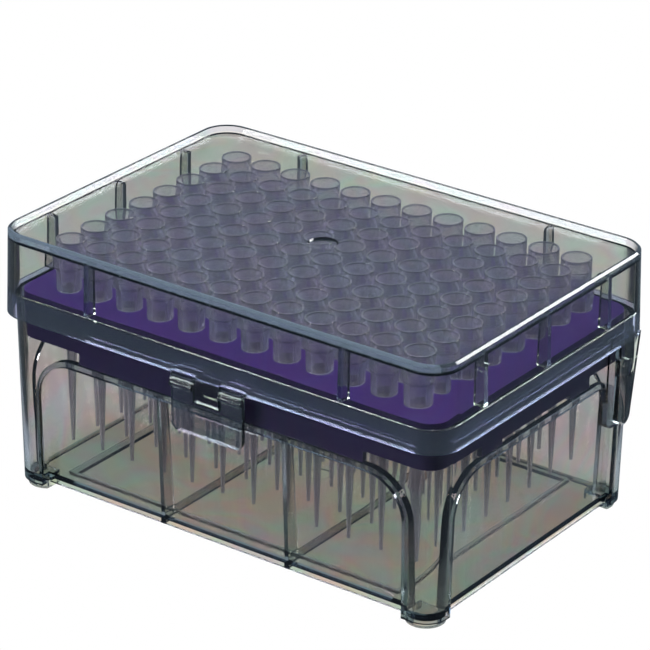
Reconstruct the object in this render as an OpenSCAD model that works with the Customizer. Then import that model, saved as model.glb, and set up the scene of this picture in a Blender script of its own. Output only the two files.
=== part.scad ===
// Hinged box of pipette tips: 96 tips standing in a rack, 12 columns of 8.
// X runs along the columns, -Y is the latch side and +Z is up.
// Heights named *_z are measured from the lower edge of the base wall.

/* [Grid] */
// Distance between neighbouring tips
tip_pitch = 9; // [8.8:0.1:9.4]

/* [Tip] */
// Overall length of a tip
tip_length = 51.8; // [46:0.1:54]
// How far the tips stand above the rack
tip_stand = 12.3; // [10.5:0.1:14]
// Outer diameter of the collar
collar_d = 7.3; // [6.6:0.1:7.8]
// Height of the collar
collar_h = 5.6; // [4:0.1:7]
// Outer diameter of the hub between collar and rack
hub_d = 5.5; // [5.4:0.05:6]
// Outer diameter of the stem just under the rack
stem_d = 4.7; // [4.3:0.1:4.9]
// Length of the straight part of the stem
stem_length = 3; // [2:0.1:5]
// Outer diameter where the stem turns into the slender nose
knee_d = 2.4; // [2:0.1:3]
// Length of the slender nose
nose_length = 23.8; // [18:0.1:27]
// Outer diameter at the orifice
orifice_od = 0.84; // [0.7:0.02:1.2]
// Bore diameter at the orifice
orifice_id = 0.44; // [0.3:0.02:0.5]
// Diameter of the straight socket that a pipette enters
socket_d = 5.4; // [4.8:0.05:5.6]
// Depth of the straight socket
socket_depth = 4.6; // [3:0.1:5]
// Chamfer at the mouth of the socket
socket_lead_in = 0.35; // [0.2:0.05:0.4]
// Length over which the bore narrows below the collar
socket_step = 1; // [0.6:0.1:2]
// Wall of the tip below its collar
tip_wall = 0.55; // [0.4:0.05:0.6]

/* [Rack] */
// From the outer tip centres to the short edges
rack_margin_x = 9.9; // [9:0.1:12]
// From the outer tip centres to the long edges
rack_margin_y = 7.9; // [7:0.1:10]
// Thickness of the top plate
rack_plate = 1.6; // [1.2:0.1:2.4]
// Thickness of the skirt
rack_skirt = 1.3; // [1:0.1:1.6]
// Radius of the upright corners
rack_corner_r = 4.6; // [3:0.1:6]
// How far the top of the rack stands above the rim of the base
rack_stand = 0.8; // [0.4:0.1:1.4]
// Step from the resting edge up to the raised edge at the corners
rack_step = 2.8; // [2:0.1:4]
// Step from the resting pads up to the edge between them on the short sides
rack_pad_step = 1.3; // [0.8:0.1:2]
// Half length of the resting edge on the long sides
rack_rest = 40.6; // [30:0.1:42]
// Distance of the pads on the short sides from the middle
rack_pad_y = 18; // [14:0.1:19]
// Length of each pad
rack_pad = 8.2; // [6:0.1:9]
// Gap between the stem of a tip and its hole
hole_clear = 0.15; // [0.1:0.01:0.3]
// Gap all round between rack and base
rack_clear = 1.0; // [0.6:0.05:1.4]

/* [Base] */
// Height of the base wall
base_height = 48.6; // [45:0.1:54]
// Wall thickness
base_wall = 1.3; // [1:0.05:1.5]
// How much narrower each side is at the bottom than at the rim
base_taper = 0.95; // [0.5:0.05:1.5]
// Corner radius at the bottom
base_corner_r = 5.6; // [5:0.1:7]
// Width of each corner pillar on the long sides
pillar_w = 8.5; // [7.5:0.1:10]
// Width of each corner pillar on the short sides
pillar_d = 7.1; // [6.6:0.1:9]
// Top of the arched recesses
recess_z = 33.9; // [30:0.1:36]
// Radius of the arch corners
arch_r = 10; // [6:0.5:12]
// Depth of the long recesses at the bottom
long_depth = 2.8; // [2:0.1:3.4]
// Depth of the long recesses at the arch
long_depth_top = 1.8; // [1.6:0.1:2.4]
// Depth of the short recesses at the bottom
short_depth = 1.8; // [1.4:0.1:2.2]
// Depth of the short recesses at the arch
short_depth_top = 1.4; // [1.2:0.1:1.8]
// Upper face of the floor
floor_z = 2.4; // [2.2:0.1:4]
// Floor thickness
floor_t = 1.5; // [1.2:0.1:2]
// How far the middle panel of the floor is raised
panel_rise = 0.9; // [0.6:0.1:1.2]
// Distance of the panel from the short walls
panel_margin_x = 9.6; // [6:0.1:12]
// Distance of the panel from the long walls
panel_margin_y = 1.6; // [1:0.1:3]
// Distance of the fins and of the ribs under the floor from the middle
fin_x = 18; // [17:0.1:19]
// Thickness of the fins
fin_t = 1.1; // [0.8:0.05:1.4]
// How far the fins stand out from the wall at their top
fin_depth = 3; // [1:0.1:3.2]
// How far the fins stand out from the wall at the floor
fin_depth_low = 3.6; // [1:0.1:3.8]
// Thickness of the ribs under the floor
floor_rib_t = 1.5; // [0.8:0.1:2]
// Height of the part of the fins that narrows to nothing at the top
fin_tail = 2.5; // [1:0.1:4]
// Foot height below the wall
foot_h = 1.5; // [1:0.1:2.5]
// Foot diameter
foot_d = 9.4; // [8:0.1:10.6]
// Wall of the ring-shaped feet
foot_wall = 1.9; // [1:0.1:2.4]
// Diameter of the gate mark in the floor
gate_d = 5.6; // [4:0.1:8]

/* [Lid] */
// How far the lid reaches down over the base
lid_overlap = 4.9; // [4:0.1:6]
// Gap between lid and base
lid_clear = 0.85; // [0.8:0.05:1.2]
// Thickness of the thin skirt that passes over the base
lid_skirt = 1.1; // [0.9:0.05:1.3]
// Wall thickness above the skirt
lid_wall = 1.5; // [1.4:0.05:1.8]
// Thickness of the top
lid_top = 1.6; // [1.2:0.1:2]
// Space between tips and the inside of the lid
lid_headroom = 1.6; // [1:0.1:3]
// How much narrower each side is at the top
lid_taper = 0.65; // [0.3:0.05:1]
// Corner radius at the top
lid_corner_r = 7.4; // [7:0.1:8]
// Chamfer round the top
lid_chamfer = 0.5; // [0.3:0.1:0.8]
// Thickness of the ribs inside the lid
lid_rib_t = 1.5; // [1:0.1:2]
// How far the ribs stand out from the wall
lid_rib_depth = 2.8; // [2.5:0.1:3]
// Distance of the ribs on the long sides from the middle
lid_rib_x = 36; // [35:0.1:37]
// Distance of the outer ribs on the short sides from the middle
lid_rib_y = 25.2; // [24:0.1:27]
// Gap between the ribs and the rack
lid_rib_gap = 0.3; // [0.2:0.05:0.5]
// Gap between the hinge-side ribs and the rack
lid_rear_rib_gap = 1.0; // [0.9:0.1:2]
// How far the hinge-side edge of the lid is raised, so that it can swing past the base
lid_rear_lift = 3.5; // [3:0.1:4]
// Where the raised hinge-side edge of the lid begins
lid_rear_y = 39.2; // [39:0.1:39.5]
// Dimple diameter at the middle of the lid
dimple_d = 7.4; // [5:0.1:9]
// Dimple depth
dimple_h = 0.4; // [0.2:0.1:0.8]

/* [Hinge] */
// Distance of the hinge axis behind the middle
hinge_y = 33.6; // [33:0.1:34.5]
// Height of the hinge axis
hinge_z = 37; // [36.5:0.1:37.6]
// Diameter of the hinge pins
hinge_pin_d = 4.4; // [4:0.1:5]
// Front edge of the raised pad that carries each pin
pad_front_y = 27.7; // [25:0.1:28.6]
// How far the pad reaches behind the hinge axis
pad_behind = 3.4; // [3:0.1:3.6]
// Lower edge of the pad
pad_low_z = 22.2; // [20:0.1:26]
// Upper edge of the pad
pad_high_z = 46; // [44:0.1:47]
// Gap between the pad and the ear
ear_gap = 0.2; // [0.1:0.05:0.4]
// Radial running clearance of both pivots
pin_clear = 0.05; // [0.03:0.01:0.09]
// Thickness of the ears
ear_t = 1.5; // [1.2:0.05:1.6]
// Front edge of the ears
ear_front_y = 30; // [28.8:0.1:30.4]
// Rear edge of the ears where they leave the lid
ear_rear_y = 38.4; // [37.4:0.1:39]
// Radius of the lower end of the ears
ear_r = 2.6; // [2.4:0.1:3.2]
// How far the ears reach below the hinge axis
ear_drop = 14.4; // [10:0.1:16]

/* [Latch] */
// Overall width of the latch
latch_w = 20.2; // [18:0.1:24]
// Height of the latch below its pivot
latch_drop = 12.9; // [10:0.1:14]
// Thickness of the latch plate
latch_t = 1.2; // [1:0.1:1.6]
// Corner radius of the latch plate
latch_r = 2; // [1:0.1:3]
// Gap between the latch and the path of the rim of the base
latch_clear = 0.3; // [0.25:0.05:0.4]
// Radius of the knuckles above the pivot
knuckle_r = 1.25; // [1.15:0.05:1.3]
// How far the lip of each knuckle stands in front of the pivot
lip_out = 1.15; // [1.1:0.05:1.4]
// How far the knuckles reach below the pivot
lip_drop = 1.7; // [1.4:0.1:2]
// Height of the lip
lip_h = 1.1; // [0.7:0.1:1.2]
// Ridges on each knuckle
ridge_count = 3; // [2:1:4]
// Radius of the grooves between the ridges
groove_r = 0.12; // [0.08:0.01:0.14]
// Pivot pin diameter
latch_pin_d = 1; // [0.9:0.05:1.1]
// Distance of the pivot in front of the edge of the lid
latch_pivot_out = 0.15; // [0.12:0.01:0.2]
// Distance of the pivot below the edge of the lid
latch_pivot_below = 1.1; // [1:0.1:1.4]
// Room between the knuckles and the lid
knuckle_gap = 0.4; // [0.3:0.05:0.6]
// Width of the block that carries the pins
block_w = 7.2; // [6:0.1:9]
// Height of the block above the edge of the lid
block_rise = 2.6; // [2:0.1:4]
// How far the block reaches below the edge of the lid
block_drop = 5.4; // [4:0.1:6]
// How far the block stands in front of the pivot
block_out = 0.8; // [0.7:0.1:1.2]
// Gap between the block and the lower edge of the window round it
window_gap = 0.35; // [0.3:0.05:0.6]
// Height of the bead along the lower edge of the latch
bead = 0.2; // [0.1:0.05:0.25]
// Width of that bead
bead_w = 1.5; // [1:0.1:2]
// Distance of that bead from the lower edge
bead_up = 0.3; // [0.2:0.1:1]
// Side gap between block and knuckles
latch_side_gap = 0.25; // [0.15:0.05:0.4]

/* [Hidden] */
columns = 12;
rows = 8;
$fn = 64;
// How far a cut runs past the face that it opens
past = 1;
// How far a joined piece sinks into its carrier
sink = 0.4;
// Cuts in the walls of the base start here, below the feet
cut_low = foot_h + past;

// Plan sizes, each a half length from the middle
rack_hx = (columns - 1) / 2 * tip_pitch + rack_margin_x;
rack_hy = (rows - 1) / 2 * tip_pitch + rack_margin_y;
rim_hx = rack_hx + rack_clear + base_wall;
rim_hy = rack_hy + rack_clear + base_wall;
foot_hx = rim_hx - base_taper;
foot_hy = rim_hy - base_taper;
skirt_hx = rim_hx + lid_clear + lid_skirt;
skirt_hy = rim_hy + lid_clear + lid_skirt;
cap_hx = skirt_hx - lid_taper;
cap_hy = skirt_hy - lid_taper;

// Heights
rack_z = base_height + rack_stand;
tip_z = rack_z + tip_stand;
lid_z = base_height - lid_overlap;
ceiling_z = tip_z + lid_headroom;
lid_top_z = ceiling_z + lid_top;
lid_height = lid_top_z - lid_z;
rest_z = recess_z + base_wall;

// Pivot of the latch
pivot_y = -(skirt_hy + latch_pivot_out);
pivot_z = lid_z - latch_pivot_below;
// Nothing of the latch group reaches further in than this plane
latch_back_y = -(rim_hy + lid_clear + latch_clear);

// The middle of the whole box sits on the origin
front_y = pivot_y - lip_out;
rear_y = skirt_hy - lid_taper * lid_rear_lift / lid_height;
plan_shift = -(front_y + rear_y) / 2;

function base_grow(z) = base_taper * z / base_height;
function column_x(i) = (i - (columns + 1) / 2) * tip_pitch;
function row_y(j) = ((rows + 1) / 2 - j) * tip_pitch;

module placed() {
    translate([0, plan_shift, foot_h]) children();
}

// ---------- Shared forms ----------

// Block with round upright corners whose sides lean outwards by grow.
module leaning_block(hx, hy, r, h, grow) {
    rotate([90, 0, 90])
        linear_extrude(2 * (hx - r), center = true)
            polygon([[-hy, 0], [hy, 0], [hy + grow, h], [-hy - grow, h]]);
    rotate([90, 0, 0])
        linear_extrude(2 * (hy - r), center = true)
            polygon([[-hx, 0], [hx, 0], [hx + grow, h], [-hx - grow, h]]);
    for (sx = [-1, 1], sy = [-1, 1])
        translate([sx * (hx - r), sy * (hy - r), 0])
            cylinder(h, r, r + grow);
}

// Outline of a recess: a gate with round upper corners.
module arch(half, top, r) {
    translate([-half, -cut_low]) square([2 * half, top - r + cut_low]);
    translate([-half + r, -cut_low]) square([2 * (half - r), top + cut_low]);
    for (s = [-1, 1])
        translate([s * (half - r), top - r]) circle(r);
}

// Space of one recess in the face at y = -face, larger by grow on every side.
module recess(half, face, depth, depth_top, grow) {
    low = face - depth - grow;
    high = face + base_grow(recess_z) - depth_top - grow;
    lean = (high - low) / recess_z;
    top = recess_z + grow + past;
    out = face + base_taper + past;
    intersection() {
        rotate([90, 0, 0])
            linear_extrude(out)
                arch(half + grow, recess_z + grow, arch_r + grow);
        rotate([90, 0, 90])
            linear_extrude(2 * (half + grow + past), center = true)
                polygon([[-out - past, -cut_low - past],
                         [-(low - lean * (cut_low + past)), -cut_low - past],
                         [-(low + lean * top), top], [-out - past, top]]);
    }
}

module all_recesses(grow) {
    for (turn = [0, 180]) {
        rotate(turn)
            recess(foot_hx - pillar_w, foot_hy, long_depth, long_depth_top, grow);
        rotate(turn + 90)
            recess(foot_hy - pillar_d, foot_hx, short_depth, short_depth_top, grow);
    }
}

// ---------- Base ----------

// Inner faces of the recessed walls at the floor
floor_hx = foot_hx - short_depth - base_wall;
floor_hy = foot_hy - long_depth - base_wall;

// Space between the walls, from one height to another.
module inner_space(low, high) {
    difference() {
        translate([0, 0, low])
            leaning_block(foot_hx + base_grow(low) - base_wall,
                          foot_hy + base_grow(low) - base_wall,
                          base_corner_r + base_grow(low) - base_wall, high - low,
                          base_grow(high - low));
        all_recesses(base_wall);
    }
}

module base_shell() {
    difference() {
        union() {
            difference() {
                leaning_block(foot_hx, foot_hy, base_corner_r, base_height, base_taper);
                all_recesses(0);
            }
            hinge_pads();
        }
        inner_space(floor_z, base_height + past);
        inner_space(-past, floor_z - floor_t);
    }
}

// Middle of the floor, a step higher than its edge.
module floor_panel() {
    hx = floor_hx - panel_margin_x;
    hy = floor_hy - panel_margin_y;
    translate([-hx, -hy, floor_z - sink])
        cube([2 * hx, 2 * hy, panel_rise + sink]);
}

module under_panel() {
    hx = floor_hx - panel_margin_x - floor_t;
    hy = floor_hy - panel_margin_y - floor_t;
    translate([-hx, -hy, -past])
        cube([2 * hx, 2 * hy, floor_z + panel_rise - floor_t + past]);
}

module floor_ribs() {
    for (s = [-1, 1])
        translate([s * fin_x - floor_rib_t / 2, -floor_hy - sink, 0])
            cube([floor_rib_t, 2 * (floor_hy + sink), floor_z - floor_t + sink]);
}

// Upright fins inside the two long recessed walls.
module wall_fins() {
    high = foot_hy + base_grow(recess_z) - long_depth_top - base_wall;
    for (turn = [0, 180])
        rotate(turn)
            for (s = [-1, 1])
                translate([s * fin_x, 0, 0])
                    rotate([90, 0, 90])
                        linear_extrude(fin_t, center = true)
                            polygon([[-floor_hy - sink, floor_z - sink],
                                     [-floor_hy + fin_depth_low, floor_z - sink],
                                     [-high + fin_depth, recess_z - fin_tail],
                                     [-high, recess_z],
                                     [-high - sink, recess_z]]);
}

// Rings under the corner pillars, no wider than the pillars.
module feet() {
    high = foot_h + floor_z - floor_t + sink;
    for (sx = [-1, 1], sy = [-1, 1])
        scale([sx, sy, 1])
            translate([0, 0, -foot_h])
                intersection() {
                    translate([foot_hx - base_corner_r, foot_hy - base_corner_r, 0])
                        difference() {
                            cylinder(high, d = foot_d);
                            translate([0, 0, -past])
                                cylinder(foot_h + past, d = foot_d - 2 * foot_wall);
                        }
                    translate([foot_hx - pillar_w, foot_hy - pillar_d, 0])
                        cube([pillar_w, pillar_d, high]);
                }
}

// Raised pads on the short walls, rounded at their lower corners.
pad_x = skirt_hx - ear_t - ear_gap;
pad_r = 2.5;
module hinge_pads() {
    width = hinge_y + pad_behind - pad_front_y;
    from_x = floor_hx + sink;
    for (s = [0, 1])
        mirror([s, 0, 0])
            translate([from_x, pad_front_y, pad_low_z])
                rotate([90, 0, 90])
                    linear_extrude(pad_x - from_x) {
                        translate([0, pad_r])
                            square([width, pad_high_z - pad_low_z - pad_r]);
                        translate([pad_r, 0]) square([width - 2 * pad_r, pad_high_z - pad_low_z]);
                        for (y = [pad_r, width - pad_r])
                            translate([y, pad_r]) circle(pad_r);
                    }
}

module hinge_pins() {
    for (s = [0, 1])
        mirror([s, 0, 0])
            translate([pad_x - sink, hinge_y, hinge_z])
                rotate([0, 90, 0])
                    cylinder(sink + ear_gap + ear_t - 0.15, d = hinge_pin_d);
}

module base() {
    color([0.55, 0.58, 0.58, 0.45])
        placed() {
            difference() {
                union() {
                    base_shell();
                    floor_panel();
                }
                under_panel();
                translate([0, 0, floor_z + panel_rise - 0.3])
                    cylinder(past, d = gate_d);
            }
            floor_ribs();
            wall_fins();
            feet();
            hinge_pins();
        }
}

// ---------- Rack ----------

module rack_outline(inset) {
    r = rack_corner_r - inset;
    hx = rack_hx - inset;
    hy = rack_hy - inset;
    square([2 * (hx - r), 2 * hy], center = true);
    square([2 * hx, 2 * (hy - r)], center = true);
    for (sx = [-1, 1], sy = [-1, 1])
        translate([sx * (hx - r), sy * (hy - r)]) circle(r);
}

// What the skirt loses at its lower edge, so that it rests only where it should.
module skirt_cuts() {
    reach_x = rack_hx + past;
    reach_y = rack_hy + past;
    raised = rack_step + past;
    pad_end = rack_pad_y + rack_pad / 2;
    pad_start = rack_pad_y - rack_pad / 2;
    inner_x = rack_hx - rack_skirt - past;
    translate([0, 0, rest_z - past]) {
        for (sx = [-1, 1], sy = [-1, 1])
            translate([sx > 0 ? rack_rest : -reach_x, sy > 0 ? pad_end : -reach_y, 0])
                cube([reach_x - rack_rest, reach_y - pad_end, raised]);
        for (sx = [-1, 1])
            translate([sx > 0 ? inner_x : -reach_x, -pad_start, 0])
                cube([reach_x - inner_x, 2 * pad_start, rack_pad_step + past]);
    }
}

module rack() {
    color([0.24, 0.17, 0.42])
        placed()
            difference() {
                translate([0, 0, rest_z])
                    linear_extrude(rack_z - rest_z) rack_outline(0);
                translate([0, 0, rest_z - past])
                    linear_extrude(rack_z - rack_plate - rest_z + past)
                        rack_outline(rack_skirt);
                skirt_cuts();
                for (i = [1 : columns], j = [1 : rows])
                    translate([column_x(i), row_y(j), rest_z])
                        cylinder(rack_z - rest_z + past, d = stem_d + 2 * hole_clear);
            }
}

// ---------- Tips ----------

// Half section of a tip: outside from the orifice up, then the bore down.
module tip_section() {
    seat = tip_length - tip_stand;
    knee = nose_length;
    socket_end = tip_length - socket_depth;
    hub_top = tip_length - collar_h;
    polygon([
        [orifice_id / 2, 0],
        [orifice_od / 2, 0],
        [knee_d / 2, knee],
        [stem_d / 2, seat - stem_length],
        [stem_d / 2, seat],
        [hub_d / 2, seat],
        [hub_d / 2, hub_top],
        [collar_d / 2, hub_top],
        [collar_d / 2, tip_length],
        [socket_d / 2 + socket_lead_in, tip_length],
        [socket_d / 2, tip_length - socket_lead_in],
        [socket_d / 2, socket_end],
        [stem_d / 2 - tip_wall, hub_top - socket_step],
        [stem_d / 2 - tip_wall, seat - stem_length],
        [knee_d / 2 - tip_wall, knee]
    ]);
}

module tip() {
    rotate_extrude() tip_section();
}

module tips_column(i) {
    color([0.72, 0.72, 0.75, 0.5])
        placed()
            for (j = [1 : rows])
                translate([column_x(i), row_y(j), tip_z - tip_length]) tip();
}

// ---------- Lid ----------

module lid_shell() {
    lean = lid_taper / lid_height;
    rebate_h = rack_z - lid_z;
    inner_x = skirt_hx - lean * rebate_h - lid_wall;
    inner_y = skirt_hy - lean * rebate_h - lid_wall;
    corner = lid_corner_r + lid_taper;
    body_h = lid_height - lid_chamfer;
    difference() {
        translate([0, 0, lid_z])
            union() {
                leaning_block(skirt_hx, skirt_hy, corner, body_h, -lean * body_h);
                translate([0, 0, body_h])
                    leaning_block(skirt_hx - lean * body_h, skirt_hy - lean * body_h,
                                  corner - lean * body_h, lid_chamfer, -lid_chamfer);
            }
        translate([0, 0, lid_z - past])
            leaning_block(skirt_hx - lid_skirt, skirt_hy - lid_skirt, corner - lid_skirt,
                          rebate_h + past, 0);
        translate([0, 0, rack_z])
            leaning_block(inner_x, inner_y, corner - lid_wall - lean * rebate_h,
                          ceiling_z - rack_z, -lean * (ceiling_z - rack_z));
        translate([0, 0, lid_top_z - dimple_h])
            cylinder(dimple_h + past, d = dimple_d);
        translate([-skirt_hx - past, lid_rear_y, lid_z - past])
            cube([2 * (skirt_hx + past), skirt_hy, lid_rear_lift + past]);
    }
}

// Ribs that stand just above the edges of the rack and keep it down.
module lid_ribs() {
    side_z = rack_z + lid_rib_gap;
    rear_z = rack_z + lid_rear_rib_gap;
    top = ceiling_z + sink;
    tip_x = skirt_hx - lid_wall - lid_rib_depth;
    tip_y = skirt_hy - lid_wall - lid_rib_depth;
    reach = lid_rib_depth + lid_wall - lid_taper - sink;
    for (sx = [-1, 1]) {
        for (y = [-lid_rib_y, 0, lid_rib_y])
            translate([sx > 0 ? tip_x : -tip_x - reach, y - lid_rib_t / 2, side_z])
                cube([reach, lid_rib_t, top - side_z]);
        translate([sx * lid_rib_x - lid_rib_t / 2, -tip_y - reach, side_z])
            cube([lid_rib_t, reach, top - side_z]);
        translate([sx * lid_rib_x - lid_rib_t / 2, tip_y, rear_z])
            cube([lid_rib_t, reach, top - rear_z]);
    }
}

// Outline of an ear in the plane across the hinge axis.
module ear_outline() {
    low_y = ear_front_y + ear_r;
    low_z = hinge_z - ear_drop + ear_r;
    top_z = lid_z + lid_skirt;
    polygon([[ear_front_y, low_z], [low_y + ear_r, low_z], [ear_rear_y, top_z],
             [ear_front_y, top_z]]);
    translate([low_y, low_z]) circle(ear_r);
}

module ears() {
    for (s = [0, 1])
        mirror([s, 0, 0])
            translate([skirt_hx - ear_t, 0, 0])
                rotate([90, 0, 90])
                    linear_extrude(ear_t - 0.02) ear_outline();
}

module hinge_bores() {
    for (s = [0, 1])
        mirror([s, 0, 0])
            translate([skirt_hx - ear_t - past, hinge_y, hinge_z])
                rotate([0, 90, 0])
                    cylinder(ear_t + 2 * past, d = hinge_pin_d + 2 * pin_clear);
}

// Block in the middle of the front that carries the two latch pins.
module latch_block() {
    low_z = lid_z - block_drop;
    translate([-block_w / 2, 0, 0])
        rotate([90, 0, 90])
            linear_extrude(block_w)
                polygon([[latch_back_y, low_z], [pivot_y - block_out / 2, low_z],
                         [pivot_y - block_out, pivot_z - latch_pin_d / 2],
                         [-skirt_hy + sink / 2, lid_z + block_rise],
                         [latch_back_y, lid_z + block_rise]]);
}

module latch_pins() {
    translate([-latch_w / 2, pivot_y, pivot_z])
        rotate([0, 90, 0]) cylinder(latch_w, d = latch_pin_d);
}

// Room in the edge of the lid for the knuckles.
module knuckle_room() {
    high = knuckle_r + knuckle_gap;
    for (s = [0, 1])
        mirror([s, 0, 0])
            translate([block_w / 2, pivot_y - lip_out, pivot_z])
                cube([latch_w / 2 - block_w / 2 + knuckle_gap, lip_out + lid_skirt + past,
                      high]);
}

module lid() {
    color([0.55, 0.58, 0.58, 0.4])
        placed()
            difference() {
                union() {
                    difference() {
                        lid_shell();
                        knuckle_room();
                    }
                    lid_ribs();
                    ears();
                    latch_block();
                    latch_pins();
                }
                hinge_bores();
            }
}

// ---------- Latch ----------

// Plate with a window for the block of the lid.
module latch_plate() {
    bottom = pivot_z - latch_drop;
    half = latch_w / 2;
    window_z = lid_z - block_drop - window_gap;
    translate([0, latch_back_y, 0])
        rotate([90, 0, 0])
            linear_extrude(latch_t)
                difference() {
                    union() {
                        translate([-half, bottom + latch_r])
                            square([latch_w, latch_drop - latch_r - lip_drop + sink]);
                        translate([-half + latch_r, bottom])
                            square([latch_w - 2 * latch_r, latch_r + past]);
                        for (s = [-1, 1])
                            translate([s * (half - latch_r), bottom + latch_r])
                                circle(latch_r);
                    }
                    translate([-block_w / 2 - latch_side_gap, window_z])
                        square([block_w + 2 * latch_side_gap, block_drop + window_gap + past]);
                }
    // Bead along the lower edge that catches on the wall
    translate([-half + latch_r, latch_back_y - sink, bottom + bead_up])
        cube([latch_w - 2 * latch_r, bead + sink, bead_w]);
}

// Section of a knuckle: a leaning ridged face above a plain lip.
module knuckle_section() {
    back = latch_back_y - pivot_y;
    lip_top = lip_h - lip_drop;
    top = [-0.35 * knuckle_r, 0.92 * knuckle_r];
    low = [-lip_out + groove_r / 2, lip_top];
    difference() {
        union() {
            intersection() {
                circle(knuckle_r);
                translate([top.x, -knuckle_r])
                    square([back - top.x, 2 * knuckle_r]);
            }
            polygon([[back, -lip_drop], [-lip_out + groove_r, -lip_drop],
                     [-lip_out, groove_r - lip_drop], [-lip_out, lip_top - groove_r],
                     low, top, [0, knuckle_r * 0.9], [back, 0]]);
        }
        for (k = [0 : ridge_count - 1])
            translate(low + (top - low) * k / ridge_count) circle(groove_r, $fn = 16);
    }
}

module latch() {
    reach = latch_w / 2 - block_w / 2 - latch_side_gap;
    color([0.75, 0.77, 0.82, 0.6])
        placed()
            difference() {
                union() {
                    latch_plate();
                    for (x = [-latch_w / 2, latch_w / 2 - reach])
                        translate([x, pivot_y, pivot_z])
                            rotate([90, 0, 90])
                                linear_extrude(reach) knuckle_section();
                }
                translate([-latch_w / 2 - past, pivot_y, pivot_z])
                    rotate([0, 90, 0])
                        cylinder(latch_w + 2 * past, d = latch_pin_d + 2 * pin_clear);
            }
}

base();
rack();
lid();
latch();
tips_column(1);  // tips_column_01
tips_column(2);  // tips_column_02
tips_column(3);  // tips_column_03
tips_column(4);  // tips_column_04
tips_column(5);  // tips_column_05
tips_column(6);  // tips_column_06
tips_column(7);  // tips_column_07
tips_column(8);  // tips_column_08
tips_column(9);  // tips_column_09
tips_column(10);  // tips_column_10
tips_column(11);  // tips_column_11
tips_column(12);  // tips_column_12
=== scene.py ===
"""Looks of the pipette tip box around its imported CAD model."""
import math

import bmesh
import bpy
from mathutils import Matrix, Vector


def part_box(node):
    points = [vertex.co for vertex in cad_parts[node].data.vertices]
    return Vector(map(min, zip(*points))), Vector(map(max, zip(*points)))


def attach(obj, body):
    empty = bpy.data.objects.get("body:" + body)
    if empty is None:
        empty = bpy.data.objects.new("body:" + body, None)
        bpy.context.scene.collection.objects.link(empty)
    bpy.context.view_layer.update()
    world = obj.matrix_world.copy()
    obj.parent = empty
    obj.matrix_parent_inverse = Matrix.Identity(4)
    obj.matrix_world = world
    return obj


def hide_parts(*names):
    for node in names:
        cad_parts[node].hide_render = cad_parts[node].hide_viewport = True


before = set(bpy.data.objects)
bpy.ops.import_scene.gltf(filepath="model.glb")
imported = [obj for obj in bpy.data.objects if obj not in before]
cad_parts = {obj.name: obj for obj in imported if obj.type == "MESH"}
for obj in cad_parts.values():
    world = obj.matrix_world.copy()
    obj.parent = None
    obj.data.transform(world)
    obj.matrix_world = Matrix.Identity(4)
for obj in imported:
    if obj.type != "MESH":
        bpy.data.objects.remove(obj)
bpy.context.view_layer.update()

# ---------------------------------------------------------------- sizes

MM = 0.001
BASE, RACK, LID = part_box("base"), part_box("rack"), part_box("lid")
# Middle of the box from front to rear, and the top of the rack that the tips stand on
CY = (BASE[0][1] + BASE[1][1]) / 2
SEAT = RACK[1][2]
# Lower edge of the lid, top of its rim, and both faces of the plate that is sunk inside the rim
EDGE_Z, TOP = 45.2 * MM, LID[1][2]
PLATE_Z, UNDER_Z = TOP - 1.8 * MM, TOP - 2.8 * MM

# ---------------------------------------------------------------- nodes


def new_material(name):
    mat = bpy.data.materials.new(name)
    mat.use_nodes = True
    nodes = mat.node_tree.nodes
    nodes.clear()
    return mat, nodes, mat.node_tree.links


def node(nodes, kind, place=(0, 0), **values):
    """Node whose keywords set sockets by name, or else properties."""
    n = nodes.new(kind)
    n.location = place
    for key, value in values.items():
        if key in n.inputs:
            n.inputs[key].default_value = value
        else:
            setattr(n, key, value)
    return n


def ramp(nodes, stops, place=(0, 0)):
    n = nodes.new("ShaderNodeValToRGB")
    n.location = place
    els = n.color_ramp.elements
    els[0].position, els[0].color = stops[0][0], (*stops[0][1], 1)
    els[1].position, els[1].color = stops[-1][0], (*stops[-1][1], 1)
    for pos, col in stops[1:-1]:
        e = els.new(pos)
        e.color = (*col, 1)
    return n


def calculate(nodes, links, operation, first, second, place=(0, 0)):
    n = node(nodes, "ShaderNodeMath", place, operation=operation)
    links.new(first, n.inputs[0])
    links.new(second, n.inputs[1])
    return n.outputs[0]


def between(nodes, links, value, low, high, place=(0, 0)):
    """1 where the value lies between low and high, and 0 elsewhere."""
    n = node(nodes, "ShaderNodeMath", place, operation="COMPARE")
    links.new(value, n.inputs[0])
    n.inputs[1].default_value = (low + high) / 2
    n.inputs[2].default_value = (high - low) / 2
    return n.outputs[0]


def smooth_step(nodes, links, value, low, high, start, end, place=(0, 0)):
    n = node(nodes, "ShaderNodeMapRange", place, interpolation_type="SMOOTHSTEP")
    n.inputs["From Min"].default_value = low
    n.inputs["From Max"].default_value = high
    n.inputs["To Min"].default_value = start
    n.inputs["To Max"].default_value = end
    links.new(value, n.inputs["Value"])
    return n.outputs[0]


def blend(nodes, links, factor, first, second, place=(0, 0)):
    """Goes from the first shader to the second as the factor goes from 0 to 1."""
    n = node(nodes, "ShaderNodeMixShader", place)
    links.new(factor, n.inputs["Fac"])
    links.new(first, n.inputs[1])
    links.new(second, n.inputs[2])
    return n.outputs[0]


def see_through_shadow(nodes, links, skin, shade, place):
    """The skin, but clear to shadow rays, so that light reaches what is inside."""
    x, y = place
    see = node(nodes, "ShaderNodeBsdfTransparent", (x - 550, y - 350), Color=(*shade, 1))
    path = node(nodes, "ShaderNodeLightPath", (x - 300, y + 350))
    return blend(nodes, links, path.outputs["Is Shadow Ray"], skin, see.outputs[0], place)


# ---------------------------------------------------------------- materials

# Dust and fine scratches on clear plastic, and a painted slate sheen where zones raise the haze
DUST_AND_SHEEN = (0.36, 0.48, 0.62)
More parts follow.
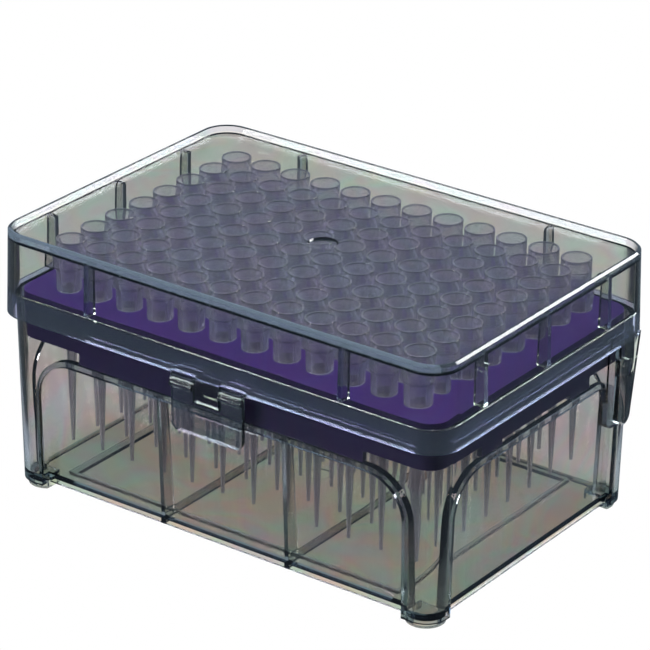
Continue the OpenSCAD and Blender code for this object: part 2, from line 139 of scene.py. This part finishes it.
# Colours of moulding stress, in slow bands of noise
TINTS = [(0.30, (0.90, 0.98, 0.90)), (0.38, (1.00, 0.93, 0.84)), (0.44, (1.00, 0.86, 0.88)),
         (0.50, (0.94, 0.97, 0.95)), (0.55, (0.86, 0.99, 0.89)), (0.60, (1.00, 0.96, 0.84)),
         (0.66, (0.99, 0.87, 0.92)), (0.74, (0.90, 0.96, 1.00))]


def tinted(strength, cast):
    """The stress colours, made weaker or stronger and multiplied by a cast."""
    return [(at, [(1 - (1 - c) * strength) * k for c, k in zip(colour, cast)])
            for at, colour in TINTS]


def clear_plastic(name, tints, smoke, zones=(), haze=0.006):
    """Smoky plastic: refraction at the skin, and smoke (per metre) in the thickness.

    A zone has ranges along the object's axes, a colour that multiplies the tint between them as a
    painted shade, and the haze that is added there as a painted sheen.
    """
    mat, nodes, links = new_material(name)
    out = node(nodes, "ShaderNodeOutputMaterial", (900, 0))
    coord = node(nodes, "ShaderNodeTexCoord", (-900, 0))
    noise = node(nodes, "ShaderNodeTexNoise", (-650, 100), Scale=34.0, Detail=1.0, Distortion=1.4)
    links.new(coord.outputs["Object"], noise.inputs["Vector"])
    bands = ramp(nodes, tints, (-400, 100))
    links.new(noise.outputs["Fac"], bands.inputs["Fac"])
    skin = node(nodes, "ShaderNodeBsdfPrincipled", (0, 100), Roughness=0.0, IOR=1.59)
    skin.inputs["Transmission Weight"].default_value = 1.0
    split = node(nodes, "ShaderNodeSeparateXYZ", (-650, 400))
    links.new(coord.outputs["Object"], split.inputs[0])
    tint, cloud = bands.outputs["Color"], None
    # Each zone paints shade into the tint with its colour, and a painted sheen with its haze
    for ranges, colour, more in zones:
        within = None
        for axis, (low, high) in ranges.items():
            span = between(nodes, links, split.outputs[axis], low, high, (-400, 400))
            if within is not None:
                span = calculate(nodes, links, "MULTIPLY", within, span, (-300, 500))
            within = span
        zone = node(nodes, "ShaderNodeMix", (-200, 400), data_type="RGBA", blend_type="MULTIPLY")
        zone.inputs[7].default_value = (*colour, 1)
        links.new(within, zone.inputs[0])
        links.new(tint, zone.inputs[6])
        tint = zone.outputs[2]
        part = node(nodes, "ShaderNodeMath", (0, 500), operation="MULTIPLY_ADD")
        part.inputs[1].default_value = more
        part.inputs[2].default_value = haze
        links.new(within, part.inputs[0])
        if cloud is not None:
            links.new(cloud, part.inputs[2])
        cloud = part.outputs[0]
    links.new(tint, skin.inputs["Base Color"])
    ripple = node(nodes, "ShaderNodeTexNoise", (-650, -300), Scale=90.0, Detail=1.0)
    links.new(coord.outputs["Object"], ripple.inputs["Vector"])
    bump = node(nodes, "ShaderNodeBump", (-300, -300), Strength=0.03, Distance=0.4 * MM)
    links.new(ripple.outputs["Fac"], bump.inputs["Height"])
    links.new(bump.outputs["Normal"], skin.inputs["Normal"])
    # Diffuse film of dust, and of painted slate sheen where the haze is raised
    dust_and_sheen_film = node(nodes, "ShaderNodeBsdfDiffuse", (0, -100), Color=(*DUST_AND_SHEEN, 1))
    hazy = node(nodes, "ShaderNodeMixShader", (300, 100), Fac=haze)
    if cloud is not None:
        links.new(cloud, hazy.inputs["Fac"])
    links.new(skin.outputs["BSDF"], hazy.inputs[1])
    links.new(dust_and_sheen_film.outputs["BSDF"], hazy.inputs[2])
    surface = see_through_shadow(nodes, links, hazy.outputs[0], (0.8, 0.8, 0.8), (550, 100))
    links.new(surface, out.inputs["Surface"])
    density = max(smoke) / 0.9
    left = [1 - s / density for s in smoke]
    fog = node(nodes, "ShaderNodeVolumeAbsorption", (550, -200), Color=(*left, 1), Density=density)
    links.new(fog.outputs["Volume"], out.inputs["Volume"])
    return mat


def tip_material(name):
    """Natural polypropylene: clear with a milky part, fine rings from its turned mould."""
    mat, nodes, links = new_material(name)
    out = node(nodes, "ShaderNodeOutputMaterial", (1200, 0))
    coord = node(nodes, "ShaderNodeTexCoord", (-900, 0))
    split = node(nodes, "ShaderNodeSeparateXYZ", (-700, -300))
    links.new(coord.outputs["Object"], split.inputs[0])
    rings = node(nodes, "ShaderNodeTexWave", (-650, -100), Scale=320.0, Distortion=0.4)
    rings.bands_direction = "Z"
    links.new(coord.outputs["Object"], rings.inputs["Vector"])
    bump = node(nodes, "ShaderNodeBump", (-300, -100), Strength=0.25, Distance=0.05 * MM)
    links.new(rings.outputs["Fac"], bump.inputs["Height"])
    clear = node(nodes, "ShaderNodeBsdfPrincipled", (0, 100), Roughness=0.0, IOR=1.49)
    clear.inputs["Transmission Weight"].default_value = 1.0
    milk = node(nodes, "ShaderNodeBsdfPrincipled", (0, -400), Roughness=0.35, IOR=1.49)
    milk.inputs["Base Color"].default_value = (0.88, 0.82, 0.98, 1)
    for skin in (clear, milk):
        links.new(bump.outputs["Normal"], skin.inputs["Normal"])
    # Thin dark lines of painted shade at the rounded edges of the rim and of the collar, with less
    # milk there
    rim, collar = (between(nodes, links, split.outputs["Z"], SEAT + low * MM, SEAT + high * MM,
                           (-300, -800)) for low, high in ((11.55, 11.89), (5.45, 5.72)))
    edges = calculate(nodes, links, "ADD", rim, collar, (-150, -800))
    tone = node(nodes, "ShaderNodeMix", (-150, 300), data_type="RGBA")
    tone.inputs[6].default_value = (0.96, 0.95, 1.0, 1)
    tone.inputs[7].default_value = (0.30, 0.30, 0.36, 1)
    links.new(edges, tone.inputs[0])
    links.new(tone.outputs[2], clear.inputs["Base Color"])
    milkiness = node(nodes, "ShaderNodeMapRange", (-100, -800))
    milkiness.inputs["To Min"].default_value = 0.21
    milkiness.inputs["To Max"].default_value = 0.03
    links.new(edges, milkiness.inputs["Value"])
    body = blend(nodes, links, milkiness.outputs[0], clear.outputs["BSDF"], milk.outputs["BSDF"],
                 (350, 0))
    surface = see_through_shadow(nodes, links, body, (0.95, 0.95, 0.97), (900, 0))
    links.new(surface, out.inputs["Surface"])
    fog = node(nodes, "ShaderNodeVolumeAbsorption", (900, -300), Color=(0.30, 0.28, 0.50, 1),
               Density=110.0)
    links.new(fog.outputs["Volume"], out.inputs["Volume"])
    return mat


def opaque_plastic(name, dark, light, rough):
    """Satin plastic with a slow change of tone and a fine grain."""
    mat, nodes, links = new_material(name)
    out = node(nodes, "ShaderNodeOutputMaterial", (700, 0))
    coord = node(nodes, "ShaderNodeTexCoord", (-900, 0))
    noise = node(nodes, "ShaderNodeTexNoise", (-650, 100), Scale=25.0, Detail=3.0)
    links.new(coord.outputs["Object"], noise.inputs["Vector"])
    tone = ramp(nodes, [(0.35, dark), (0.65, light)], (-400, 100))
    links.new(noise.outputs["Fac"], tone.inputs["Fac"])
    skin = node(nodes, "ShaderNodeBsdfPrincipled", (100, 0), Roughness=rough, IOR=1.49)
    links.new(tone.outputs["Color"], skin.inputs["Base Color"])
    grain = node(nodes, "ShaderNodeTexNoise", (-650, -300), Scale=2600.0, Detail=2.0)
    links.new(coord.outputs["Object"], grain.inputs["Vector"])
    bump = node(nodes, "ShaderNodeBump", (-200, -300), Strength=0.15, Distance=0.05 * MM)
    links.new(grain.outputs["Fac"], bump.inputs["Height"])
    links.new(bump.outputs["Normal"], skin.inputs["Normal"])
    links.new(skin.outputs["BSDF"], out.inputs["Surface"])
    return mat


# Band where the lid laps over the base, rim above the sunken plate, and its part in front. Their
# colours paint a slate shade on these bands, darkest on the front rim, and their haze a painted
# sheen
LAP = {"Z": (EDGE_Z, SEAT)}
RIM = {"Z": (PLATE_Z + 0.1 * MM, PLATE_Z + 10 * MM)}
FRONT_RIM = {**RIM, "Y": (-100 * MM, BASE[0][1] + 1.2 * MM)}

box_plastic = clear_plastic("clear_box", tinted(0.7, (1.0, 0.90, 0.84)), (400, 341, 286),
                            zones=[(LAP, (0.8, 0.85, 1.0), 0.0)])
lid_plastic = clear_plastic("clear_lid", tinted(0.6, (1.0, 0.98, 0.88)), (340, 294, 250),
                            zones=[(LAP, (0.60, 0.62, 0.90), 0.02),
                                   (RIM, (0.85, 0.86, 0.95), 0.03),
                                   (FRONT_RIM, (0.60, 0.68, 0.80), 0.06)])
latch_plastic = clear_plastic("clear_latch", TINTS[2:4], (520, 480, 420), haze=0.02)
rack_plastic = opaque_plastic("purple_rack", (0.060, 0.021, 0.16), (0.068, 0.024, 0.178), 0.42)
tip_plastic = tip_material("tip_plastic")

# ---------------------------------------------------------------- CAD nodes


def smooth_group(angle):
    """Modifier that shades smooth and keeps edges sharper than angle."""
    group = bpy.data.node_groups.new("smooth_by_angle", "GeometryNodeTree")
    group.interface.new_socket("Mesh", in_out="INPUT", socket_type="NodeSocketGeometry")
    group.interface.new_socket("Mesh", in_out="OUTPUT", socket_type="NodeSocketGeometry")
    nodes, links = group.nodes, group.links
    given, done = nodes.new("NodeGroupInput"), nodes.new("NodeGroupOutput")
    weld = nodes.new("GeometryNodeMergeByDistance")
    weld.inputs["Distance"].default_value = 1e-6
    faces = nodes.new("GeometryNodeSetShadeSmooth")
    faces.domain = "FACE"
    edges = nodes.new("GeometryNodeSetShadeSmooth")
    edges.domain = "EDGE"
    edges.inputs["Shade Smooth"].default_value = False
    turn = nodes.new("GeometryNodeInputMeshEdgeAngle")
    more = nodes.new("FunctionNodeCompare")
    more.data_type = "FLOAT"
    more.operation = "GREATER_THAN"
    more.inputs[1].default_value = math.radians(angle)
    links.new(given.outputs[0], weld.inputs["Geometry"])
    links.new(weld.outputs["Geometry"], faces.inputs["Geometry"])
    links.new(faces.outputs["Geometry"], edges.inputs["Geometry"])
    links.new(turn.outputs["Unsigned Angle"], more.inputs[0])
    links.new(more.outputs[0], edges.inputs["Selection"])
    links.new(edges.outputs["Geometry"], done.inputs[0])
    return group


# Flatter than the cone of the gate well in the lid, so that its edge stays sharp
SMOOTH = smooth_group(24)


def dress(name, mat):
    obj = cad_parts[name]
    for slot in obj.material_slots:
        slot.material = mat
    obj.modifiers.new("smooth", "NODES").node_group = SMOOTH


dress("base", box_plastic)
dress("rack", rack_plastic)
dress("latch", latch_plastic)

# ---------------------------------------------------------------- lid


def loop_mesh(name, rings, close=True):
    """Closed skin over rings of points that have the same count.

    The ends are capped, or else the last ring is joined to the first.
    """
    mesh = bpy.data.meshes.new(name)
    bm = bmesh.new()
    rows = [[bm.verts.new(p) for p in ring] for ring in rings]
    count = len(rings[0])
    pairs = list(zip(rows, rows[1:])) + ([] if close else [(rows[-1], rows[0])])
    for low, high in pairs:
        for k in range(count):
            bm.faces.new((low[k], low[(k + 1) % count], high[(k + 1) % count], high[k]))
    if close:
        bm.faces.new(rows[0][::-1])
        bm.faces.new(rows[-1])
    bmesh.ops.recalc_face_normals(bm, faces=bm.faces)
    bm.to_mesh(mesh)
    bm.free()
    return mesh


def round_ring(x, y, z, radius, count):
    turn = (2 * math.pi * k / count for k in range(count))
    return [(x + radius * math.cos(a), y + radius * math.sin(a), z) for a in turn]


def rounded_ring(hx, hy, r, z, steps=12):
    """Rectangle of half sizes hx and hy round the middle of the box, with rounded corners."""
    ring = []
    for k, (sx, sy) in enumerate(((1, 1), (-1, 1), (-1, -1), (1, -1))):
        for s in range(steps + 1):
            a = math.radians(90 * k + 90 * s / steps)
            ring.append((sx * (hx - r) + r * math.cos(a), CY + sy * (hy - r) + r * math.sin(a), z))
    return ring


def add_object(name, mesh):
    obj = bpy.data.objects.new(name, mesh)
    bpy.context.collection.objects.link(obj)
    return obj


def carve(obj, tool_mesh, operation):
    """Joins or cuts a solid and leaves no modifier behind."""
    tool = add_object("tool", tool_mesh)
    mod = obj.modifiers.new("carve", "BOOLEAN")
    mod.operation, mod.solver, mod.object = operation, "EXACT", tool
    bpy.context.view_layer.update()
    done = bpy.data.meshes.new_from_object(
        obj.evaluated_get(bpy.context.evaluated_depsgraph_get()))
    obj.modifiers.clear()
    obj.data = done
    bpy.data.objects.remove(tool)


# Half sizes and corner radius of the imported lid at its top
CAP_X = LID[1][0] - 0.65 * MM
CAP_Y = (BASE[1][1] - BASE[0][1]) / 2 + 1.3 * MM
CAP_R = 7.4 * MM
# Radius of the gate well and its height above the plate, in mm
WELL = ((2.3, -0.55), (3.3, -0.4), (3.6, 0.0), (3.6, 1.0))
WELL_TURN = 48


def lid_block(name, levels):
    """Block inside the lid's outline, with its inset in mm given at each height."""
    return loop_mesh(name, [rounded_ring(CAP_X - inset * MM, CAP_Y - inset * MM,
                                         CAP_R - inset * MM, z) for z, inset in levels])


# The lid as imported, with its top sunk inside a raised rim that holds the feet of the next box
mesh = bpy.data.meshes.new("lid_with_rim")
bm = bmesh.new()
bm.from_mesh(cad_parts["lid"].data)
bmesh.ops.remove_doubles(bm, verts=bm.verts, dist=1e-6)
bm.to_mesh(mesh)
bm.free()
lid = add_object("lid_with_rim", mesh)
carve(lid, lid_block("plate", [(UNDER_Z, 0.7), (TOP - 0.8 * MM, 0.7)]), "UNION")
carve(lid, lid_block("hollow", [(PLATE_Z, 1.05), (TOP + MM, 0.8)]), "DIFFERENCE")
carve(lid, loop_mesh("well", [round_ring(0, CY, PLATE_Z + z * MM, r * MM, WELL_TURN)
                              for r, z in WELL]), "DIFFERENCE")
lid.data.materials.clear()
lid.data.materials.append(lid_plastic)
lid.modifiers.new("smooth", "NODES").node_group = SMOOTH
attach(lid, "lid")
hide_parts("lid")

# ---------------------------------------------------------------- tips

# Radius and height above the seat of the skin of a tip, in mm, from the orifice up its outside
# and back down the bore
SKIN = [(0.42, -39.5), (1.2, -15.7), (2.35, -3.0), (2.35, 0.02), (3.1, 0.02), (3.1, 0.5),
        (3.1, 5.2), (3.1, 5.5), (3.5, 5.5), (3.65, 5.65), (3.65, 8.4), (3.6, 8.6), (3.65, 8.8),
        (3.65, 11.8), (3.58, 11.9), (3.32, 11.9), (3.25, 11.75), (3.2, 9.0), (2.8, 8.7),
        (2.72, 5.8), (2.2, 4.2), (1.8, -3.0), (0.65, -15.7), (0.22, -39.5)]
TURN = 48
# Rings of the hub that are fluted, the depth of a flute in mm, and how many points apart they are
FLUTED, FLUTE, FLUTE_STEP = (5, 6), 0.22, 4
# Tips in a column
ROWS = 8


def tip_rings(x, y):
    rings = []
    for i, (r, z) in enumerate(SKIN):
        ring = []
        for k in range(TURN):
            a = 2 * math.pi * k / TURN
            rk = r - FLUTE if i in FLUTED and k % FLUTE_STEP == 0 else r
            ring.append((x + rk * MM * math.cos(a), y + rk * MM * math.sin(a), SEAT + z * MM))
        rings.append(ring)
    return rings


def tips_of(column):
    low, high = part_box(column)
    x = (low[0] + high[0]) / 2
    radius = (high[0] - low[0]) / 2
    first, last = low[1] + radius, high[1] - radius
    bm = bmesh.new()
    for j in range(ROWS):
        y = first + (last - first) * j / (ROWS - 1)
        part = loop_mesh("part", tip_rings(x, y), close=False)
        bm.from_mesh(part)
        bpy.data.meshes.remove(part)
    mesh = bpy.data.meshes.new(column + "_tips")
    bm.to_mesh(mesh)
    bm.free()
    obj = add_object(column + "_tips", mesh)
    obj.data.materials.append(tip_plastic)
    obj.modifiers.new("smooth", "NODES").node_group = SMOOTH
    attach(obj, "base")
    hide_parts(column)


for name in sorted(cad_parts):
    if name.startswith("tips_column"):
        tips_of(name)

# ---------------------------------------------------------------- floor

# Directions over the floor, each with the distance at which a dark card stands and the one from
# which the floor is bright. The cards leave a bright strip behind the box, as the camera looks
CARDS = (((0.809, 0.588, 0), -0.100, -0.083), ((-0.809, -0.588, 0), -0.103, -0.086),
         ((-1, 0, 0), -0.092, -0.073), ((0, 1, 0), -0.065, -0.046))
# Stress colours of the moulded floor panel, painted on the floor under it, where they also set the
# level of the painted shadow
STRESS_AND_SHADOW = [(0.36, (0.93, 1.10, 0.92)), (0.44, (1.06, 1.08, 0.86)), (0.50, (1.18, 1.03, 0.84)),
          (0.55, (1.02, 1.07, 0.90)), (0.60, (0.90, 1.10, 0.90)), (0.68, (1.08, 1.01, 0.96))]
# How far inside and outside the outline of the base its shadow starts and ends
SHADOW_IN, SHADOW_OUT = 4 * MM, 12 * MM

bpy.ops.mesh.primitive_plane_add(size=6.0, location=(0, 0, 0))
floor = bpy.context.object
floor.name = "floor"
mat, nodes, links = new_material("floor_white")
out = node(nodes, "ShaderNodeOutputMaterial", (1100, 0))
coord = node(nodes, "ShaderNodeTexCoord", (-1500, 0))
# Seen through the plastic, the floor is bright near the box and dim far away
far = node(nodes, "ShaderNodeVectorMath", (-1200, 200), operation="LENGTH")
links.new(coord.outputs["Object"], far.inputs[0])
reach = smooth_step(nodes, links, far.outputs["Value"], 0.28, 0.6, 1.0, 0.08, (-900, 200))
for k, (direction, low, high) in enumerate(CARDS):
    along = node(nodes, "ShaderNodeVectorMath", (-1200, 600 + 150 * k), operation="DOT_PRODUCT")
    along.inputs[1].default_value = direction
    links.new(coord.outputs["Object"], along.inputs[0])
    card = smooth_step(nodes, links, along.outputs["Value"], low, high, 0.08, 1.0,
                       (-900, 600 + 150 * k))
    reach = calculate(nodes, links, "MULTIPLY", reach, card, (-700, 600 + 150 * k))
# Under the box it has the tone of the smoky shadow
split = node(nodes, "ShaderNodeSeparateXYZ", (-1200, -100))
links.new(coord.outputs["Object"], split.inputs[0])
sides = []
for axis, name in enumerate("XY"):
    off = node(nodes, "ShaderNodeMath", (-1050, -100 - 150 * axis), operation="SUBTRACT")
    off.inputs[1].default_value = (BASE[0][axis] + BASE[1][axis]) / 2
    links.new(split.outputs[name], off.inputs[0])
    side = node(nodes, "ShaderNodeMath", (-900, -100 - 150 * axis), operation="ABSOLUTE")
    links.new(off.outputs[0], side.inputs[0])
    half = (BASE[1][axis] - BASE[0][axis]) / 2
    sides.append(smooth_step(nodes, links, side.outputs[0], half - SHADOW_IN, half + SHADOW_OUT,
                             1.0, 0.0, (-700, -100 - 150 * axis)))
under = calculate(nodes, links, "MULTIPLY", *sides, (-500, -150))
stress = node(nodes, "ShaderNodeTexNoise", (-900, -500), Scale=26.0, Detail=1.0, Distortion=0.8)
links.new(coord.outputs["Object"], stress.inputs["Vector"])
patches = ramp(nodes, STRESS_AND_SHADOW, (-650, -500))
links.new(stress.outputs["Fac"], patches.inputs["Fac"])
shadow = node(nodes, "ShaderNodeMix", (-300, -150), data_type="RGBA")
shadow.inputs[6].default_value = (1.42, 1.42, 1.42, 1)
links.new(patches.outputs["Color"], shadow.inputs[7])
links.new(under, shadow.inputs["Factor"])
behind = node(nodes, "ShaderNodeEmission", (0, -200))
links.new(shadow.outputs[2], behind.inputs["Color"])
links.new(reach, behind.inputs["Strength"])
paint = node(nodes, "ShaderNodeBsdfDiffuse", (0, 0), Color=(0.86, 0.86, 0.86, 1))
gloss = node(nodes, "ShaderNodeEmission", (0, -400), Color=(0.55, 0.75, 1.0, 1), Strength=0.13)
white = node(nodes, "ShaderNodeEmission", (0, -600), Color=(1, 1, 1, 1), Strength=1.0)
path = node(nodes, "ShaderNodeLightPath", (0, 400))
shown = paint.outputs[0]
for k, (flag, shader) in enumerate((("Is Glossy Ray", gloss), ("Is Transmission Ray", behind),
                                    ("Is Camera Ray", white))):
    shown = blend(nodes, links, path.outputs[flag], shown, shader.outputs[0], (300 + 200 * k, 0))
links.new(shown, out.inputs["Surface"])
floor.data.materials.append(mat)

# ---------------------------------------------------------------- world and lights

world = bpy.data.worlds.new("studio")
bpy.context.scene.world = world
world.use_nodes = True
nodes, links = world.node_tree.nodes, world.node_tree.links
nodes.clear()
out = node(nodes, "ShaderNodeOutputWorld", (900, 0))
coord = node(nodes, "ShaderNodeTexCoord", (-900, 0))
# Through the plastic, a bright wall stands behind the box and the rest of the room is dark
dot = node(nodes, "ShaderNodeVectorMath", (-650, 0), operation="DOT_PRODUCT")
dot.inputs[1].default_value = (-0.35, 0.93, 0.10)
links.new(coord.outputs["Generated"], dot.inputs[0])
level = smooth_step(nodes, links, dot.outputs["Value"], 0.30, 0.90, 0.05, 0.95, (-400, 0))
wall = node(nodes, "ShaderNodeBackground", (0, -100), Color=(1, 1, 1, 1))
links.new(level, wall.inputs["Strength"])
lit = node(nodes, "ShaderNodeBackground", (0, 100), Color=(1, 1, 1, 1), Strength=0.75)
dim = node(nodes, "ShaderNodeBackground", (0, -500), Color=(0.75, 0.88, 1.0, 1), Strength=0.14)
plain = node(nodes, "ShaderNodeBackground", (0, -300), Color=(1, 1, 1, 1), Strength=1.0)
path = node(nodes, "ShaderNodeLightPath", (-200, 400))
shown = wall.outputs[0]
for k, (flag, shader) in enumerate((("Is Diffuse Ray", lit), ("Is Glossy Ray", dim),
                                    ("Is Camera Ray", plain))):
    shown = blend(nodes, links, path.outputs[flag], shown, shader.outputs[0], (300 + 150 * k, 0))
links.new(shown, out.inputs["Surface"])


def softbox(name, place, aim, size, power):
    data = bpy.data.lights.new(name, "AREA")
    data.shape = "RECTANGLE"
    data.size, data.size_y = size
    data.energy = power
    obj = bpy.data.objects.new(name, data)
    obj.location = place
    obj.rotation_euler = (Vector(aim) - Vector(place)).to_track_quat("-Z", "Y").to_euler()
    bpy.context.collection.objects.link(obj)
    return obj


top_light = softbox("top_light", (0.1, 0.15, 0.9), (0, 0, 0.03), (0.7, 0.7), 29.0)
# Seen from above, neither face of the lid mirrors it
top_light.visible_glossy = False
top_light.visible_transmission = False
softbox("back_light", (0.55, 0.75, 0.55), (0, 0, 0.04), (0.6, 0.45), 11.0)
softbox("front_light", (-0.45, -0.75, 0.45), (0, 0, 0.03), (0.35, 0.35), 8.0)

# ---------------------------------------------------------------- camera

AZIMUTH, ELEVATION, ROLL = (math.radians(a) for a in (35.996, 25.031, 0.708))
SENSOR_MM, LENS_MM = 36, 197.9003
# Place of the camera, seen from the middle of the rack's top
EYE = (0.445741, -0.612455, 0.346499)

back = Vector((math.sin(AZIMUTH) * math.cos(ELEVATION), -math.cos(AZIMUTH) * math.cos(ELEVATION),
               math.sin(ELEVATION)))
right = Vector((math.cos(AZIMUTH), math.sin(AZIMUTH), 0))
up = back.cross(right)
roll_right = right * math.cos(ROLL) + up * math.sin(ROLL)
roll_up = up * math.cos(ROLL) - right * math.sin(ROLL)
middle = Vector(((RACK[0][0] + RACK[1][0]) / 2, (RACK[0][1] + RACK[1][1]) / 2, SEAT))
turn = Matrix((roll_right, roll_up, back)).transposed()
cam_data = bpy.data.cameras.new("camera")
cam_data.sensor_fit = "HORIZONTAL"
cam_data.sensor_width = SENSOR_MM
cam_data.lens = LENS_MM
cam_data.clip_start = 0.05
camera = bpy.data.objects.new("camera", cam_data)
camera.matrix_world = Matrix.Translation(middle + Vector(EYE)) @ turn.to_4x4()
bpy.context.collection.objects.link(camera)

scene = bpy.context.scene
scene.camera = camera
scene.view_settings.view_transform = "Standard"
# Light passes through many thin walls before it leaves the box
scene.cycles.max_bounces = 40
scene.cycles.transmission_bounces = 36
scene.cycles.transparent_max_bounces = 40
scene.cycles.glossy_bounces = 8
scene.cycles.diffuse_bounces = 3
scene.cycles.caustics_reflective = False
scene.cycles.caustics_refractive = False
